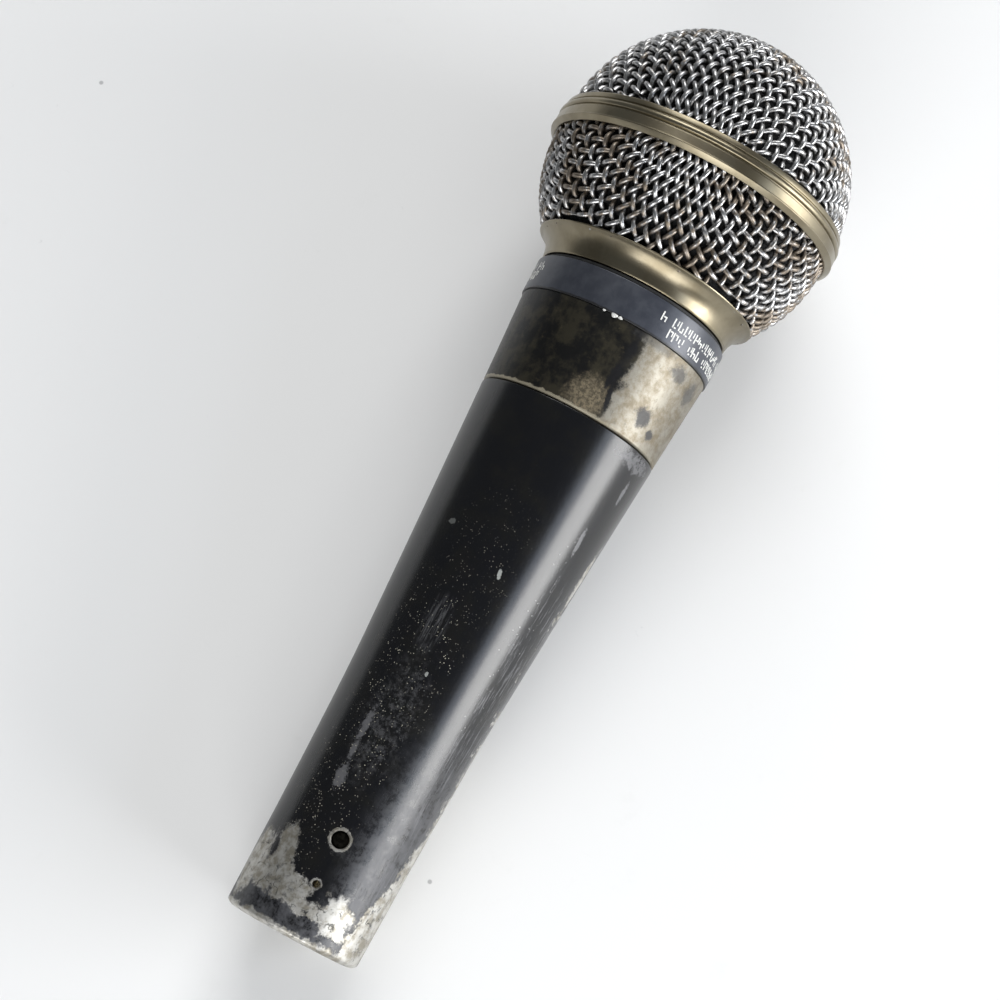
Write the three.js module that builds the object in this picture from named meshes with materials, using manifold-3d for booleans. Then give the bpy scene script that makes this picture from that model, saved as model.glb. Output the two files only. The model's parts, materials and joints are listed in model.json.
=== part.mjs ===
// A handheld dynamic vocal microphone lying on a table, in millimetres, +Z up.
// Every piece is turned about the microphone's own axis, so it is first built in an axis frame:
// z is the distance s from the connector end of the handle, and +x points at the lock-screw hole.
// The whole assembly is then laid down with its axis along +X, resting on the handle's end and on
// the band of the grille.
import * as THREE from 'three';
import { mergeVertices } from 'three/addons/utils/BufferGeometryUtils.js';
import Module from 'manifold-3d';

const wasm = await Module();
wasm.setup();

// ---- driving dimensions -------------------------------------------------------------------
const GAP = 0.3;               // clearance between neighbouring solids
const FACETS = 28;             // sides of every large turned piece
const SMALL_FACETS = 20;       // sides of the pieces inside the cartridge
const HOLE_ROLL = 6;           // degrees from straight up to the lock-screw hole

const HANDLE_END_R = 11.35;    // outside radius at the connector end
const SEAM = 91.3;             // s of the joint between handle and head housing
const SEAM_R = 15.4;
const LABEL_BOTTOM = 107.3;
const LABEL_TOP = 113.2;
const LABEL_R = 16.75;
const COLLAR_BOTTOM = 114;
const COLLAR_TOP = 118.3;
const COLLAR_TOP_R = 19.2;
const BAND_BOTTOM = 133.4;
const BAND_TOP = 138.5;
const BAND_R = 25.65;
const BAND_REST_S = 134.2;     // s of the band's edge that touches the table
const MESH_SPLIT = 135.6;      // s inside the band where the lower mesh ends
const DOME_CENTRE = 137.9;     // centre of the ball grille's upper half
const DOME_R = 24.5;
const MESH_WALL = 1.3;         // thickness of the woven wire

const SOCKET_R = 8.2;          // the connector socket
const SOCKET_DEPTH = 14.3;
const INSERT_R = 9.4;
const INSERT_TOP = 21.5;
const PIN_CIRCLE_R = 4.76;
const PIN_R = 1.2;
const LOCK_HOLE_S = 16.5;
const LATCH_HOLE_S = 9;

const HANDLE_THREAD_R = 13.7;  // outside of the spigot that screws into the handle
const SPIGOT_BOTTOM = 84.2;
const GRILLE_THREAD_R = 14.3;  // outside of the neck that the grille screws onto
const NECK_TOP = 121.5;
const HOUSING_BORE_R = 12.8;

const CARTRIDGE_BOTTOM = 110;
const CARTRIDGE_TOP = 128;
const CARTRIDGE_R = 10.8;
const CHAMBER_BOTTOM = 68;
const CHAMBER_R = 9.8;
const TRANSFORMER_BOTTOM = 30;
const TRANSFORMER_LENGTH = 16;

// ---- materials ----------------------------------------------------------------------------
const paint = (color, roughness, metalness) =>
  new THREE.MeshStandardMaterial({ color, roughness, metalness });
const BLACK_ENAMEL = paint(0x17181b, 0.35, 0.2);
const WORN_METAL = paint(0x8a7d68, 0.4, 0.8);
const SLATE = paint(0x3c424b, 0.5, 0.3);
const CHAMPAGNE = paint(0xb5a98c, 0.35, 0.9);
const WIRE = paint(0xb9b8b4, 0.3, 1);
const STEEL = paint(0x9a9a9c, 0.4, 1);
const BRASS = paint(0xb8975a, 0.35, 1);
const COPPER = paint(0xa5592c, 0.4, 0.9);
const BLACK_PLASTIC = paint(0x202022, 0.55, 0);
const TAN_BOARD = paint(0x8b6b3d, 0.7, 0);
const CLEAR_FILM = paint(0xcfc9b5, 0.3, 0);
const RUBBER = paint(0x161616, 0.9, 0);
const FOAM = paint(0x1d1d1e, 1, 0);
const RED_SLEEVE = paint(0x9c2b26, 0.6, 0);
const GREEN_SLEEVE = paint(0x2f6b4a, 0.6, 0);

// ---- shape helpers ------------------------------------------------------------------------
const rad = THREE.MathUtils.degToRad;

// A piece turned about the axis from [radius, s] points that run anticlockwise with radius to
// the right; one flat of it faces the table once the microphone is laid down.
function turned(points, facets = FACETS) {
  const profile = points.map(([r, s]) => new THREE.Vector2(r, s));
  const touchesAxis = profile[0].x === 0;
  if (!touchesAxis) {
    profile.push(profile[0].clone());
  }
  const flatDown = rad(180 - HOLE_ROLL) + Math.PI / facets + Math.PI / 2;
  const shape = new THREE.LatheGeometry(profile, facets, flatDown);
  return shape.rotateX(Math.PI / 2);
}

// A plain tube between two radii.
const tube = (inner, outer, low, high, facets) =>
  turned([[inner, low], [outer, low], [outer, high], [inner, high]], facets);

// Points on an arc in the [radius, s] plane, angles in degrees from the radial direction.
function arc(centreS, radius, from, to, steps) {
  const points = [];
  for (let i = 0; i <= steps; i += 1) {
    const angle = rad(from + (to - from) * i / steps);
    const r = Math.abs(Math.cos(angle)) < 1e-9 ? 0 : radius * Math.cos(angle);
    points.push([r, centreS + radius * Math.sin(angle)]);
  }
  return points;
}

// A rectangular block, centred across the axis and running from one s to another.
function block(across, high, low, top) {
  return new THREE.BoxGeometry(across, high, top - low).translate(0, 0, (low + top) / 2);
}

// A rod that points outwards from the axis at an angle, between two distances from the axis.
function radialRod(radius, from, to, s, angle = 0, outerRadius = radius, sides = 16) {
  const rod = new THREE.CylinderGeometry(outerRadius, radius, to - from, sides);
  rod.translate(0, (from + to) / 2, 0);
  rod.rotateZ(-Math.PI / 2);
  rod.rotateZ(rad(angle));
  return rod.translate(0, 0, s);
}

// A round wire along a smooth curve through the points.
function wire(points, radius, steps, sides = 8) {
  const section = new THREE.Shape();
  for (let i = 0; i < sides; i += 1) {
    const angle = 2 * Math.PI * i / sides;
    const corner = [radius * Math.cos(angle), radius * Math.sin(angle)];
    if (i === 0) {
      section.moveTo(...corner);
    } else {
      section.lineTo(...corner);
    }
  }
  section.closePath();
  const path = new THREE.CatmullRomCurve3(points.map((p) => new THREE.Vector3(...p)));
  return new THREE.ExtrudeGeometry(section, { steps, extrudePath: path, curveSegments: 1 });
}

// Boolean work: a closed three.js geometry to a manifold solid and back.
function solid(geometry) {
  const bare = new THREE.BufferGeometry();
  bare.setAttribute('position', geometry.getAttribute('position'));
  bare.setIndex(geometry.getIndex());
  const merged = mergeVertices(bare, 1e-4);
  return new wasm.Manifold(new wasm.Mesh({
    numProp: 3,
    vertProperties: new Float32Array(merged.getAttribute('position').array),
    triVerts: new Uint32Array(merged.getIndex().array),
  }));
}

function shapeOf(manifold) {
  const mesh = manifold.getMesh();
  const geometry = new THREE.BufferGeometry();
  geometry.setAttribute('position', new THREE.BufferAttribute(mesh.vertProperties, 3));
  geometry.setIndex(new THREE.BufferAttribute(mesh.triVerts, 1));
  return geometry;
}

function cut(geometry, ...tools) {
  const result = tools.reduce((rest, tool) => rest.subtract(solid(tool)), solid(geometry));
  return shapeOf(result);
}

function join(geometry, ...others) {
  const result = others.reduce((rest, other) => rest.add(solid(other)), solid(geometry));
  return shapeOf(result);
}

// ---- handle -------------------------------------------------------------------------------
function handleShell() {
  const outside = [[10.5, 0], [HANDLE_END_R - 0.25, 0.4], [HANDLE_END_R, 1.1], [11.65, 20],
    [12.2, 40], [13.1, 56], [14.1, 72], [15.2, 88], [SEAM_R, SEAM - 0.3], [SEAM_R - 0.3, SEAM]];
  const threadR = HANDLE_THREAD_R + GAP;
  const threadBottom = SPIGOT_BOTTOM - 0.9;
  const boreR = INSERT_R + GAP;
  const lipTop = SOCKET_DEPTH + GAP;
  const inside = [[threadR, SEAM], [threadR, threadBottom], [12.7, threadBottom], [11.8, 60],
    [10.9, 42], [10.3, 27], [boreR, 25], [boreR, lipTop], [SOCKET_R, lipTop], [SOCKET_R, 0.7],
    [SOCKET_R + 0.7, 0]];
  const shell = turned([...outside, ...inside]);
  const lockHole = radialRod(1.5, 9, 12.5, LOCK_HOLE_S);
  const lockBevel = radialRod(1.5, 10.9, 11.9, LOCK_HOLE_S, 0, 2.6);
  const latchHole = radialRod(0.65, 7.5, 12.5, LATCH_HOLE_S);
  const latchBevel = radialRod(0.65, 10.8, 11.8, LATCH_HOLE_S, 0, 1.3);
  return cut(shell, lockHole, lockBevel, latchHole, latchBevel);
}

const PIN_ANGLES = [90, -90, 180];

function pinPlace(angle) {
  return [PIN_CIRCLE_R * Math.cos(rad(angle)), PIN_CIRCLE_R * Math.sin(rad(angle))];
}

function connectorInsert() {
  const bottom = SOCKET_DEPTH + 2 * GAP;
  const disc = turned([[0, bottom], [INSERT_R, bottom], [INSERT_R, INSERT_TOP - 0.8],
    [INSERT_R - 0.8, INSERT_TOP], [0, INSERT_TOP]]);
  const pinHoles = PIN_ANGLES.map((angle) => {
    const hole = new THREE.CylinderGeometry(PIN_R + GAP, PIN_R + GAP, 12, 12).rotateX(Math.PI / 2);
    return hole.translate(...pinPlace(angle), (bottom + INSERT_TOP) / 2);
  });
  const screwHole = radialRod(1.55, 5, 10, LOCK_HOLE_S);
  const keyway = new THREE.BoxGeometry(1.6, 1.4, 3).translate(-INSERT_R, 0, bottom);
  return cut(disc, ...pinHoles, screwHole, keyway);
}

function connectorPin(angle) {
  const tip = 1.6;
  const cup = INSERT_TOP + 3;
  const pin = new THREE.LatheGeometry([[0, tip], [0.7, tip], [PIN_R, tip + 0.7],
    [PIN_R, cup], [0.7, cup], [0.7, cup - 1.6], [0, cup - 1.6]]
    .map(([r, s]) => new THREE.Vector2(r, s)), 12);
  return pin.rotateX(Math.PI / 2).translate(...pinPlace(angle), 0);
}

function lockScrew() {
  const head = 8.2;
  const slot = new THREE.BoxGeometry(1.2, 0.5, 3).translate(head, 0, LOCK_HOLE_S);
  return cut(radialRod(1.25, 5.4, head, LOCK_HOLE_S), slot);
}

function groundLug() {
  const plate = new THREE.BoxGeometry(4.4, 3.6, 0.5).translate(0, PIN_CIRCLE_R + 0.9, INSERT_TOP + 0.6);
  const finger = new THREE.BoxGeometry(2, 0.5, 3).translate(0, 8.2, INSERT_TOP + 1.8);
  const arm = new THREE.BoxGeometry(2, 1.6, 0.5).translate(0, 7.7, INSERT_TOP + 0.6);
  const pinHole = new THREE.CylinderGeometry(PIN_R + GAP, PIN_R + GAP, 3, 12).rotateX(Math.PI / 2);
  pinHole.translate(0, PIN_CIRCLE_R, INSERT_TOP + 0.6);
  return cut(join(plate, arm, finger), pinHole);
}

// ---- transformer inside the handle --------------------------------------------------------
const LIMB = 1.7;              // half width of the core's middle limb
const WINDOW = 4.8;            // half width across both windows
const STACK = 2.5;             // half thickness of the stack of laminations
const YOKE_END = 3;            // length of the core beyond each end of its windows
const WINDOW_BOTTOM = TRANSFORMER_BOTTOM + YOKE_END;
const WINDOW_TOP = TRANSFORMER_BOTTOM + TRANSFORMER_LENGTH - YOKE_END;

function transformerCore() {
  const stack = block(2 * STACK, 13, TRANSFORMER_BOTTOM, TRANSFORMER_BOTTOM + TRANSFORMER_LENGTH);
  const windows = [-1, 1].map((side) => {
    const opening = block(4 * STACK, WINDOW - LIMB, WINDOW_BOTTOM, WINDOW_TOP);
    return opening.translate(0, side * (WINDOW + LIMB) / 2, 0);
  });
  return cut(stack, ...windows);
}

function transformerBobbin() {
  const low = WINDOW_BOTTOM + GAP;
  const high = WINDOW_TOP - GAP;
  const wall = 0.7;
  const flange = 0.7;
  const core = block(2 * (STACK + GAP + wall), 2 * (LIMB + GAP + wall), low, high);
  const ends = [[low, low + flange], [high - flange, high]].map(([a, b]) =>
    block(11.6, 2 * (WINDOW - GAP), a, b));
  const hole = block(2 * (STACK + GAP), 2 * (LIMB + GAP), low - 1, high + 1);
  return cut(join(core, ...ends), hole);
}

function transformerWinding() {
  const low = WINDOW_BOTTOM + 2 * GAP + 0.7;
  const high = WINDOW_TOP - 2 * GAP - 0.7;
  const inner = block(2 * (STACK + 1 + GAP), 2 * (LIMB + 1 + GAP), low - 1, high + 1);
  return cut(block(11, 2 * (WINDOW - GAP), low, high), inner);
}

function pottingCollar() {
  const disc = tube(1, 9.9, TRANSFORMER_BOTTOM - 1.2, WINDOW_BOTTOM - 0.6);
  const pocket = block(2 * (STACK + GAP), 13 + 2 * GAP, 20, 40);
  return cut(disc, pocket);
}

function outputLead(angle) {
  const [x, y] = pinPlace(angle);
  const start = INSERT_TOP + 3 + GAP;
  const end = TRANSFORMER_BOTTOM - GAP;
  return wire([[x, y, start], [x * 0.95, y * 0.95, start + 1.2],
    [x * 0.42, y * 0.6, end - 1.9], [x * 0.3, y * 0.6, end]], 0.45, 8, 6);
}

function inputLead(side) {
  const top = TRANSFORMER_BOTTOM + TRANSFORMER_LENGTH;
  return wire([[0, side * 3, top + GAP], [0, side * 2.2, top + 1.6], [0, side * 0.8, top + 3.2],
    [0, side * 0.6, top + 4.6], [0, side * 0.6, top + 9.4]], 0.42, 10, 6);
}

const leadSleeve = () => tube(1.6, 2.1, 50.8, 60.6, SMALL_FACETS);

// ---- head housing -------------------------------------------------------------------------
function headHousing() {
  const bottom = SEAM + GAP;
  const seatR = LABEL_R - 0.5 - GAP - 0.35;
  return turned([[HOUSING_BORE_R - 0.6, SPIGOT_BOTTOM], [HANDLE_THREAD_R - 0.4, SPIGOT_BOTTOM],
    [HANDLE_THREAD_R, SPIGOT_BOTTOM + 0.4], [HANDLE_THREAD_R, bottom], [SEAM_R - 0.3, bottom],
    [SEAM_R, bottom + 0.3], [16.5, LABEL_BOTTOM - GAP], [seatR, LABEL_BOTTOM - GAP],
    [seatR, LABEL_TOP], [GRILLE_THREAD_R, LABEL_TOP], [GRILLE_THREAD_R, NECK_TOP - 0.4],
    [GRILLE_THREAD_R - 0.4, NECK_TOP], [HOUSING_BORE_R, NECK_TOP], [HOUSING_BORE_R, 105],
    [HOUSING_BORE_R - 0.6, 104]]);
}

const labelBand = () => tube(LABEL_R - 0.85, LABEL_R, LABEL_BOTTOM, LABEL_TOP);
const grilleGasket = () => tube(GRILLE_THREAD_R + GAP, 16.1, LABEL_TOP + 0.2, COLLAR_BOTTOM - 0.2);

function mountRing() {
  const bottom = NECK_TOP + GAP;
  const ring = tube(12, GRILLE_THREAD_R - 0.2, bottom, bottom + 1.4, SMALL_FACETS);
  const notches = [90, 210, 330].map((angle) => radialRod(0.9, 11, 15, bottom + 1.4, angle));
  return cut(ring, ...notches);
}

function shockMount() {
  const inner = CARTRIDGE_R + GAP;
  const outer = HOUSING_BORE_R - GAP;
  return turned([[inner, 111.5], [11.9, 111.5], [11.9, 113], [outer, 113.8], [outer, 115],
    [11.7, 116], [11.7, 117.4], [outer, 118.4], [outer, NECK_TOP - 0.2], [inner, NECK_TOP - 0.2]],
  SMALL_FACETS);
}

// ---- cartridge ----------------------------------------------------------------------------
const PORT_COUNT = 8;

function cartridgeBody() {
  const inner = 9.5;
  const shell = turned([[3.2, CARTRIDGE_BOTTOM], [CARTRIDGE_R, CARTRIDGE_BOTTOM],
    [CARTRIDGE_R, CARTRIDGE_TOP], [inner, CARTRIDGE_TOP], [inner, CARTRIDGE_BOTTOM + 1.4],
    [3.2, CARTRIDGE_BOTTOM + 1.4]], SMALL_FACETS);
  const ports = [];
  for (let i = 0; i < PORT_COUNT; i += 1) {
    const port = new THREE.BoxGeometry(4, 3, 1.6).translate(10.4, 0, 124.6);
    ports.push(port.rotateZ(2 * Math.PI * i / PORT_COUNT));
  }
  return cut(shell, ...ports);
}

function cartridgeCap() {
  const bottom = CARTRIDGE_TOP + GAP;
  const top = bottom + 5.8;
  const cap = turned([[9.8, bottom], [CARTRIDGE_R, bottom], [CARTRIDGE_R, top - 1.4],
    [CARTRIDGE_R - 1.4, top], [1.4, top], [1.4, top - 1], [9.2, top - 1], [9.8, top - 1.6]],
  SMALL_FACETS);
  const holes = [];
  for (let i = 0; i < 6; i += 1) {
    const hole = new THREE.CylinderGeometry(1.5, 1.5, 4, 12).rotateX(Math.PI / 2);
    holes.push(hole.translate(5.2, 0, top - 0.5).rotateZ(Math.PI * i / 3));
  }
  return cut(cap, ...holes);
}

const capScreen = () => tube(0.4, 8.9, CARTRIDGE_TOP + 6.4, CARTRIDGE_TOP + 6.8, SMALL_FACETS);
const sidePortScreen = () => tube(CARTRIDGE_R + GAP, 11.5, 123.3, 127.4, SMALL_FACETS);

function magnetYoke() {
  return turned([[1.2, 111.8], [9.1, 111.8], [9.1, 123.5], [7.8, 123.5], [7.8, 113.8],
    [1.2, 113.8]], SMALL_FACETS);
}

const magnet = () => tube(1.2, 5.8, 114.1, 120.2, SMALL_FACETS);
const polePiece = () => tube(1.2, 6.1, 120.5, 123.5, SMALL_FACETS);
const voiceCoil = () => tube(6.6, 7.2, 121, 125.6, SMALL_FACETS);

function diaphragm() {
  return turned([[0, 126.9], [3, 126.7], [5.2, 126.2], [6.6, 125.9], [7.4, 125.9], [8.3, 126.5],
    [9.1, 125.9], [9.1, 126.4], [8.3, 127], [7.4, 126.3], [6.6, 126.3], [5.2, 126.6], [3, 127.1],
    [0, 127.3]], SMALL_FACETS);
}

function rearChamber() {
  const top = CARTRIDGE_BOTTOM - GAP;
  return turned([[0, CHAMBER_BOTTOM], [CHAMBER_R - 0.8, CHAMBER_BOTTOM],
    [CHAMBER_R, CHAMBER_BOTTOM + 0.8], [CHAMBER_R, top], [CHAMBER_R - 1, top],
    [CHAMBER_R - 1, CHAMBER_BOTTOM + 1.2], [0, CHAMBER_BOTTOM + 1.2]], SMALL_FACETS);
}

const TERMINAL_X = 3.4;

function terminalBoard() {
  const disc = tube(0.6, CHAMBER_R - 0.6, 66.2, CHAMBER_BOTTOM - GAP, SMALL_FACETS);
  const slots = [-1, 1].map((side) => block(1.2, 2.4, 60, 70).translate(side * TERMINAL_X, 0, 0));
  return cut(disc, ...slots);
}

function terminal(side) {
  const tab = block(0.5, 1.7, 62.8, CHAMBER_BOTTOM - GAP).translate(side * TERMINAL_X, 0, 0);
  const eye = new THREE.CylinderGeometry(0.45, 0.45, 2, 10).rotateZ(Math.PI / 2);
  return cut(tab, eye.translate(side * TERMINAL_X, 0, 64));
}

// The two cartridge leads are twisted round each other down into the sleeve.
function cartridgeLead(side) {
  const points = [[side * (TERMINAL_X - 0.85), 0, 63.6], [side * 1.8, side * 0.5, 62.4]];
  for (let i = 0; i <= 6; i += 1) {
    const angle = rad(60 * i + (side > 0 ? 45 : 225));
    points.push([0.62 * Math.cos(angle), 0.62 * Math.sin(angle), 60.8 - 0.6 * i]);
  }
  return wire(points, 0.4, 20, 6);
}

// ---- grille -------------------------------------------------------------------------------
function grilleCollar() {
  const bore = GRILLE_THREAD_R + GAP;
  return turned([[bore, COLLAR_BOTTOM], [16.3, COLLAR_BOTTOM], [16.6, COLLAR_BOTTOM + 0.3],
    [16.8, 115.4], [17.4, 116.7], [18.3, 117.8], [COLLAR_TOP_R, COLLAR_TOP - 0.1],
    [COLLAR_TOP_R - 0.4, COLLAR_TOP + 0.2], [17.2, COLLAR_TOP], [15.9, COLLAR_TOP],
    [15.9, 120.7], [bore, 120.7]]);
}

function grilleMeshLower() {
  const bottom = COLLAR_TOP + 0.2 + GAP;
  const outside = [[19, bottom], [20.9, 121.5], [22.1, 123.6], [23.2, 126.2], [24, 129.2],
    [24.4, 132], [24.5, MESH_SPLIT]];
  const inside = outside.map(([r, s]) => [r - MESH_WALL, s]).reverse();
  return turned([...outside, ...inside]);
}

function grilleBand() {
  const inner = DOME_R + 0.25;
  return turned([[inner, BAND_BOTTOM], [inner + 0.2, BAND_BOTTOM], [BAND_R, BAND_REST_S],
    [BAND_R, 137.3], [inner + 0.5, BAND_TOP - 0.2], [inner + 0.3, BAND_TOP],
    [inner, BAND_TOP]]);
}

function grilleMeshUpper() {
  const inner = arc(DOME_CENTRE, DOME_R - MESH_WALL, 90, 0, 8);
  const outer = arc(DOME_CENTRE, DOME_R, 0, 90, 8);
  const skirt = MESH_SPLIT + GAP;
  return turned([...inner, [DOME_R - MESH_WALL, skirt], [DOME_R, skirt], ...outer]);
}

function foamLinerUpper() {
  const inner = arc(DOME_CENTRE + 0.1, 20.6, 90, 0, 6);
  const outer = arc(DOME_CENTRE + 0.1, 22.7, 0, 90, 6);
  return turned([...inner, ...outer]);
}

function foamLinerLower() {
  const outside = [[17.4, 121.2], [19, 121.8], [20.2, 123.6], [21.3, 126.2], [22.1, 129.2],
    [22.6, 132], [22.7, DOME_CENTRE - GAP]];
  const inside = outside.map(([r, s]) => [r - 2, s]).reverse();
  return turned([...outside, ...inside]);
}

// ---- assembly -----------------------------------------------------------------------------
const microphone = new THREE.Group();

function add(name, geometry, material) {
  const mesh = new THREE.Mesh(geometry, material);
  mesh.name = name;
  microphone.add(mesh);
}

add('handle_shell', handleShell(), BLACK_ENAMEL);
add('connector_insert', connectorInsert(), BLACK_PLASTIC);
PIN_ANGLES.forEach((angle, i) => add(`connector_pin_${i + 1}`, connectorPin(angle), BRASS));
add('lock_screw', lockScrew(), STEEL);
add('ground_lug', groundLug(), BRASS);
add('transformer_core', transformerCore(), STEEL);
add('transformer_bobbin', transformerBobbin(), TAN_BOARD);
add('transformer_winding', transformerWinding(), COPPER);
add('potting_collar', pottingCollar(), CLEAR_FILM);
PIN_ANGLES.forEach((angle, i) => add(`output_lead_${i + 1}`, outputLead(angle), BLACK_PLASTIC));
add('input_lead_plus', inputLead(1), RED_SLEEVE);
add('input_lead_minus', inputLead(-1), GREEN_SLEEVE);
add('lead_sleeve', leadSleeve(), BLACK_PLASTIC);
add('head_housing', headHousing(), WORN_METAL);
add('label_band', labelBand(), SLATE);
add('grille_gasket', grilleGasket(), RUBBER);
add('mount_ring', mountRing(), STEEL);
add('shock_mount', shockMount(), RUBBER);
add('cartridge_body', cartridgeBody(), BLACK_PLASTIC);
add('cartridge_cap', cartridgeCap(), STEEL);
add('cap_screen', capScreen(), WIRE);
add('side_port_screen', sidePortScreen(), WIRE);
add('magnet_yoke', magnetYoke(), STEEL);
add('magnet', magnet(), STEEL);
add('pole_piece', polePiece(), STEEL);
add('voice_coil', voiceCoil(), COPPER);
add('diaphragm', diaphragm(), CLEAR_FILM);
add('rear_chamber', rearChamber(), STEEL);
add('terminal_board', terminalBoard(), TAN_BOARD);
add('terminal_plus', terminal(1), BRASS);
add('terminal_minus', terminal(-1), BRASS);
add('cartridge_lead_plus', cartridgeLead(1), RED_SLEEVE);
add('cartridge_lead_minus', cartridgeLead(-1), GREEN_SLEEVE);
add('grille_collar', grilleCollar(), CHAMPAGNE);
add('grille_mesh_lower', grilleMeshLower(), WIRE);
add('grille_band', grilleBand(), CHAMPAGNE);
add('grille_mesh_upper', grilleMeshUpper(), WIRE);
add('foam_liner_upper', foamLinerUpper(), FOAM);
add('foam_liner_lower', foamLinerLower(), FOAM);

// Laid down: the axis frame turns so that its z runs along +X and its +x looks up, rolled a
// little to the -Y side, and the ball end rises until the band and the handle end share a level.
const END_REST_S = 1.1;
const flatFactor = Math.cos(Math.PI / FACETS);
const restTilt = Math.atan(flatFactor * (BAND_R - HANDLE_END_R) / (BAND_REST_S - END_REST_S));
microphone.rotation.z = Math.PI + rad(HOLE_ROLL);
const lyingDown = new THREE.Group();
lyingDown.rotation.y = Math.PI / 2 - restTilt;
lyingDown.add(microphone);

// The origin is on the table, under the middle of the microphone.
const onTable = new THREE.Group();
onTable.add(lyingDown);
onTable.updateMatrixWorld(true);
const reach = new THREE.Box3().setFromObject(onTable, true);
const middle = reach.getCenter(new THREE.Vector3());
lyingDown.position.set(-middle.x, -middle.y, -reach.min.z);

export default onTable;
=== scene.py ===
"""A well-used handheld dynamic microphone lying on a pale table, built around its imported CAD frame."""
import json
import math
import random

import bpy
from mathutils import Matrix, Vector


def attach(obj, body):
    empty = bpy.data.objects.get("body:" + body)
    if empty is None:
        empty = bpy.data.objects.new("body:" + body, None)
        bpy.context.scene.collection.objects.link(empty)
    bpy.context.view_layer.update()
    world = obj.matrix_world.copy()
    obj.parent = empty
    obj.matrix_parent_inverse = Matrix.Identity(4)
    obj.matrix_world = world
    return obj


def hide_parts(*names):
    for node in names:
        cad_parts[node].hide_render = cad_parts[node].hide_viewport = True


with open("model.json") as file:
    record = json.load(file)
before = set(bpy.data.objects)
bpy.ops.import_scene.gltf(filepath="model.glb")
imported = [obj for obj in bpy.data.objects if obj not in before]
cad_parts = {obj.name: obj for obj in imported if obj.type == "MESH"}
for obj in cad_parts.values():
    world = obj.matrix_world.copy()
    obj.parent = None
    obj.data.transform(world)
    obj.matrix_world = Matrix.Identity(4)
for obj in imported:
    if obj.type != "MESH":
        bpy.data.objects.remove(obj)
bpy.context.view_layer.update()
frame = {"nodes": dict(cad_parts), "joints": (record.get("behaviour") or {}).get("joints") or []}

# ---- the frame ----------------------------------------------------------------------------
# Pieces are built in the microphone's axis frame: z is the distance s from the connector end,
# and +x points out of the lock-screw hole. Profiles are (radius, s) points in millimetres.
MM = 0.001
SEAM = 91.3
JOINTS = {joint["name"]: joint for joint in frame["joints"]}
AXIS = Vector(JOINTS["head_turn"]["axis"]).normalized()
HOLE_OUT = Vector(JOINTS["lock_screw_turn"]["axis"])
SIDE = AXIS.cross(HOLE_OUT).normalized()
HOLE_OUT = SIDE.cross(AXIS)
HANDLE_END = Vector(JOINTS["head_turn"]["pos_m"]) - AXIS * SEAM * MM
LAID_DOWN = Matrix((HOLE_OUT, SIDE, AXIS)).transposed().to_4x4()
LAID_DOWN.translation = HANDLE_END

LOCK_HOLE_S = 16.5
LATCH_HOLE_S = 9.0
THREAD_PITCH = 0.794
LABEL_BOTTOM = 107.3
LABEL_TOP = 113.2
LABEL_R = 16.75
DOME_CENTRE = 137.9
DOME_R = 24.5
WIRE_R = 0.42
WIRE_SIDES = 7
WIRE_STEPS = 5
DOME_PITCH = 1.98
CONE_PITCH = 2.0
DOME_TURN = 36
CONE_TURN = 40
PIN_CIRCLE_R = 4.76
PIN_ANGLES = (90, -90, 180)
SHARP = 32


# ---- mesh helpers -------------------------------------------------------------------------
def laid(point):
    """A point of the axis frame, in millimetres, as it lies on the table, in metres."""
    return LAID_DOWN @ (Vector(point) * MM)


def linked(name, data):
    """A new object of some data, in the scene."""
    thing = bpy.data.objects.new(name, data)
    bpy.context.scene.collection.objects.link(thing)
    return thing


def solid(name, vertices, faces):
    """An object from axis-frame points in millimetres."""
    mesh = bpy.data.meshes.new(name)
    mesh.from_pydata([laid(v) for v in vertices], [], faces)
    return linked(name, mesh)


def smoothed(mesh, sharp=SHARP):
    """Smooth shading that breaks at edges sharper than an angle in degrees."""
    mesh.shade_smooth()
    mesh.set_sharp_from_angle(angle=math.radians(sharp))


def piece(name, vertices, faces, body, material, replaces=(), slot=None, sharp=SHARP):
    """A smooth-shaded mesh piece from axis-frame points in millimetres, riding on a body."""
    thing = solid(name, vertices, faces)
    thing.data.validate()
    smoothed(thing.data, sharp)
    thing.data.materials.append(material)
    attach(thing, body)
    if replaces:
        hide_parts(*replaces)
    return thing


def rounded(points):
    """A closed outline whose (r, s, fillet) corners become small arcs. A fourth value is the depth
    of a thread there, and is kept."""
    steps = 4
    outline = []
    for i, point in enumerate(points):
        here = Vector(point[:2])
        fillet = point[2] if len(point) > 2 else 0
        if not fillet:
            outline.append(tuple(point))
            continue
        before = Vector(points[i - 1][:2]) - here
        after = Vector(points[(i + 1) % len(points)][:2]) - here
        reach = min(fillet, before.length * 0.45, after.length * 0.45)
        start = here + before.normalized() * reach
        end = here + after.normalized() * reach
        for k in range(steps + 1):
            t = k / steps
            outline.append(tuple(start * (1 - t) ** 2 + here * 2 * t * (1 - t) + end * t * t))
    return outline


def curve_point(points, i, t):
    """The point a share t of the way from point i to the next, on a smooth curve through them all."""
    a = points[max(i - 1, 0)]
    b = points[i]
    c = points[i + 1]
    d = points[min(i + 2, len(points) - 1)]
    point = 2 * b + (c - a) * t + (2 * a - 5 * b + 4 * c - d) * t * t
    return 0.5 * (point + (3 * b - a - 3 * c + d) * t ** 3)


def smooth_run(points, steps=6):
    """A smooth open curve through (r, s) points."""
    knots = [Vector(point) for point in points]
    run = [tuple(curve_point(knots, i, k / steps)) for i in range(len(knots) - 1) for k in range(steps)]
    return run + [points[-1]]


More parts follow.
